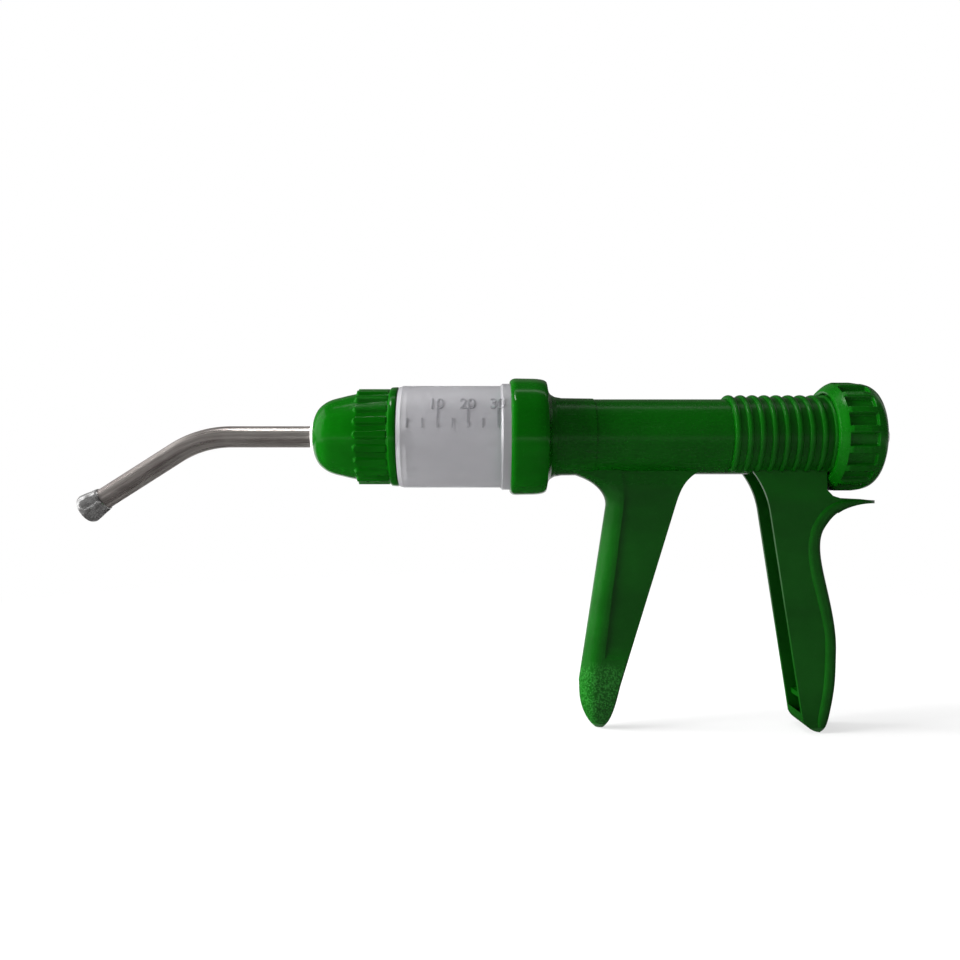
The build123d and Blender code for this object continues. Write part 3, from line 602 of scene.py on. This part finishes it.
def flat_figure(text):
    """Mesh of a text drawn flat, with short edges that can follow a curved wall."""
    letters = bpy.data.curves.new("scale_figure", "FONT")
    letters.body = text
    letters.extrude, letters.bevel_depth, letters.resolution_u = 0.025, 0.012, 5
    flat = bpy.data.objects.new("scale_figure_flat", letters)
    bpy.context.collection.objects.link(flat)
    bpy.context.view_layer.update()
    mesh = bpy.data.meshes.new_from_object(flat)
    bpy.data.objects.remove(flat)
    work = bmesh.new()
    work.from_mesh(mesh)
    bmesh.ops.remove_doubles(work, verts=work.verts, dist=1e-5)
    bmesh.ops.triangulate(work, faces=work.faces)
    long_edges = [e for e in work.edges if e.calc_length() > 0.25]
    bmesh.ops.subdivide_edges(work, edges=long_edges, cuts=2)
    bmesh.ops.triangulate(work, faces=work.faces)
    bmesh.ops.recalc_face_normals(work, faces=work.faces)
    work.to_mesh(mesh)
    work.free()
    return mesh


def scale_figure(text, centre_x):
    """Flat text, its height made FIGURE_HIGH, then wrapped: along the text runs along X, up the
    text runs up round the barrel, and the relief stands on the barrel's wall or its flare."""
    mesh = flat_figure(text)
    spot = np.empty(len(mesh.vertices) * 3)
    mesh.vertices.foreach_get("co", spot)
    spot = spot.reshape(-1, 3)
    low, high = spot.min(0), spot.max(0)
    scale = FIGURE_HIGH / (high[1] - low[1])
    x = centre_x + (spot[:, 0] - (low[0] + high[0]) / 2) * scale * FIGURE_NARROW
    climb = FIGURE_LOW_EDGE + (spot[:, 1] - low[1]) * scale / BARREL_R
    r = BARREL_R + spot[:, 2] * scale + FLARE_RISE * np.clip((x - FLARE_X) / FLARE_RUN, 0, 1)
    wrapped = np.stack([x, -r * np.cos(climb), r * np.sin(climb)], -1) * MM
    mesh.vertices.foreach_set("co", wrapped.ravel())
    mesh.update()
    made = bpy.data.objects.new("scale_figure_" + text, mesh)
    bpy.context.collection.objects.link(made)
    wear(made, "front", "figures")


for tens in (1, 2, 3):
    scale_figure(str(10 * tens), REST_X - STROKE * (1 - tens / 3))

# ---- floor, lamps and surroundings ---------------------------------------------------------------
FLOOR_Z = CAD_BOX[0].z - 0.5 * MM
FLOOR_GREY, CARD_TINT, WHITE = (0.8, 0.8, 0.8, 1), (1, 0.96, 0.93, 1), (1, 1, 1, 1)
GROUND_LEVEL = 0.38


def sheet(name, place, facing, width, height):
    """A flat sheet round `place` that faces `facing`; it is part of the studio."""
    mesh = bpy.data.meshes.new(name)
    corners = [Vector((x * width / 2, y * height / 2, 0))
               for x, y in ((-1, -1), (1, -1), (1, 1), (-1, 1))]
    mesh.from_pydata(corners, [], [(0, 1, 2, 3)])
    turn_to_face = Vector(facing).to_track_quat("Z", "Y").to_matrix().to_4x4()
    mesh.transform(Matrix.Translation(place) @ turn_to_face)
    made = bpy.data.objects.new(name, mesh)
    bpy.context.collection.objects.link(made)
    return made


def shown_white(nodes):
    """1 where the white surroundings are seen by eye, in a reflection or through the barrel."""
    by_eye, reflected, through = [
        nodes.node("ShaderNodeLightPath", {}, {}, kind)
        for kind in ("Is Camera Ray", "Is Glossy Ray", "Is Transmission Ray")]
    return (by_eye + reflected).math("ADD", through, clamp=True)


floor = sheet("floor", (0, 0, FLOOR_Z), (0, 0, 1), 8, 8)
pale = Finish("pale_floor", Roughness=1.0, Base_Color=FLOOR_GREY)
away = pale.ease(pale.length(pale.place), 0.16, 0.55, 0.62, 1.0)
glow = pale.node("ShaderNodeEmission", {}, {"Strength": 1.0})
pale.show(pale.node("ShaderNodeMixShader", {}, {0: shown_white(pale) * away,
                                                1: Wire(pale, pale.shader.outputs[0]), 2: glow}),
          "Material Output")
floor.data.materials.append(pale.material)


def dim_card(name, place, facing, width, height, level):
    """A dim wall of the studio that only reflections show."""
    card = sheet(name, place, facing, width, height)
    card.visible_camera = card.visible_diffuse = False
    card.visible_transmission = card.visible_shadow = False
    dim = Finish(name)
    dim.show(dim.node("ShaderNodeEmission", {}, {"Color": CARD_TINT, "Strength": level}),
             "Material Output")
    card.data.materials.append(dim.material)


dim_card("room_front", (0, -1.5, 0.35), (0, 1, 0), 3.4, 3.0, 0.035)
dim_card("room_above", (0, -0.1, 1.5), (0, 0, -1), 3.0, 3.0, 0.05)
dim_card("room_left", (-1.5, -0.95, 0.35), (1, 0, 0), 1.2, 3.0, 0.05)
dim_card("room_right", (1.5, -0.6, 0.35), (-1, 0, 0), 1.9, 3.0, 0.06)
dim_card("room_behind", (0, 1.5, 0.9), (0, -1, 0), 5.0, 1.6, 0.15)
dim_card("room_below", (0, -0.25, FLOOR_Z + 2 * MM), (0, 0, 1), 1.4, 0.9, 0.05)


def lamp(name, place, aim, width, height, watts, glint):
    """A soft rectangular lamp at `place` that faces `aim`; with glint, reflections show it."""
    data = bpy.data.lights.new(name, "AREA")
    data.shape = "RECTANGLE"
    data.size, data.size_y = width, height
    data.energy = watts
    made = bpy.data.objects.new(name, data)
    made.location = place
    made.rotation_euler = (Vector(aim) - Vector(place)).to_track_quat("-Z", "Y").to_euler()
    made.visible_glossy = glint
    bpy.context.collection.objects.link(made)


lamp("overhead_strip", (-0.02, 0.14, 1.0), (-0.02, 0, 0), 1.2, 0.08, 0.7, True)
lamp("overhead", (-0.3, 0.05, 1.2), (-0.03, 0, 0), 0.9, 0.6, 6, False)
lamp("window", (-1.2, -0.10, 0.15), (-0.03, 0, -0.03), 0.8, 0.9, 92, False)
lamp("fill", (0.2, -1.2, 0.6), (-0.03, 0, -0.02), 0.9, 0.7, 2, False)
lamp("nose_lamp", (-0.35, -0.12, 0.9), (-0.1, 0, 0), 0.22, 0.10, 1.8, True)

world = bpy.data.worlds.new("surroundings")
bpy.context.scene.world = world
world.use_nodes = True
sky = Nodes(world.node_tree)
ground = sky.tree.nodes["Background"]
ground.inputs["Color"].default_value = WHITE
ground.inputs["Strength"].default_value = GROUND_LEVEL
white = sky.node("ShaderNodeBackground", {}, {"Color": WHITE, "Strength": 1.0})
sky.show(sky.node("ShaderNodeMixShader", {}, {0: shown_white(sky), 1: Wire(sky, ground.outputs[0]),
                                              2: white}), "World Output")
bpy.context.scene.view_settings.view_transform = "Standard"
